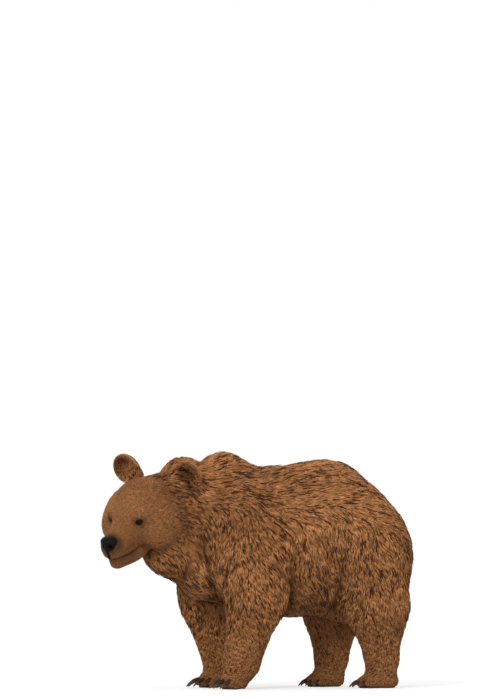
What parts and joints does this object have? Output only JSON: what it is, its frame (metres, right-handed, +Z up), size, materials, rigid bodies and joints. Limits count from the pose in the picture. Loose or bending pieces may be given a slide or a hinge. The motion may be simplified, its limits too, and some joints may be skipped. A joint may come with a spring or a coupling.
{
  "type": "brown bear",
  "caption": "Life-size brown bear standing on all fours, head turned to its left, with shaggy fur, round ears and long claws; a still museum model that rests on its soles.",
  "frame": {"origin": "on the floor, under the middle of the whole animal's box", "axes": "the bear faces -X with its head turned towards -Y; +Z is up; its left side is towards -Y"},
  "size_m": [1.6208, 0.6788, 1.114],
  "materials": {
    "coat": "medium-length brown fur, soft and matte, darker at the tips of the long guard hairs",
    "nose": "bare black nose skin, finely pebbled and slightly moist",
    "eye": "glossy dark brown eyes with a wet cornea",
    "claw": "dark brown horn, smooth and slightly shiny, with fine ridges along it"
  },
  "bodies": {
    "root": {"trunk": "coat", "tail": "coat", "neck": "coat", "head": "coat", "nose": "nose", "ear_left": "coat", "eye_left": "eye", "ear_right": "coat", "eye_right": "eye", "leg_front_left": "coat", "paw_front_left": "coat", "claw_front_left_1": "claw", "claw_front_left_2": "claw", "claw_front_left_3": "claw", "claw_front_left_4": "claw", "claw_front_left_5": "claw", "leg_front_right": "coat", "paw_front_right": "coat", "claw_front_right_1": "claw", "claw_front_right_2": "claw", "claw_front_right_3": "claw", "claw_front_right_4": "claw", "claw_front_right_5": "claw", "leg_hind_left": "coat", "paw_hind_left": "coat", "claw_hind_left_1": "claw", "claw_hind_left_2": "claw", "claw_hind_left_3": "claw", "claw_hind_left_4": "claw", "claw_hind_left_5": "claw", "leg_hind_right": "coat", "paw_hind_right": "coat", "claw_hind_right_1": "claw", "claw_hind_right_2": "claw", "claw_hind_right_3": "claw", "claw_hind_right_4": "claw", "claw_hind_right_5": "claw"}
  },
  "joints": []
}
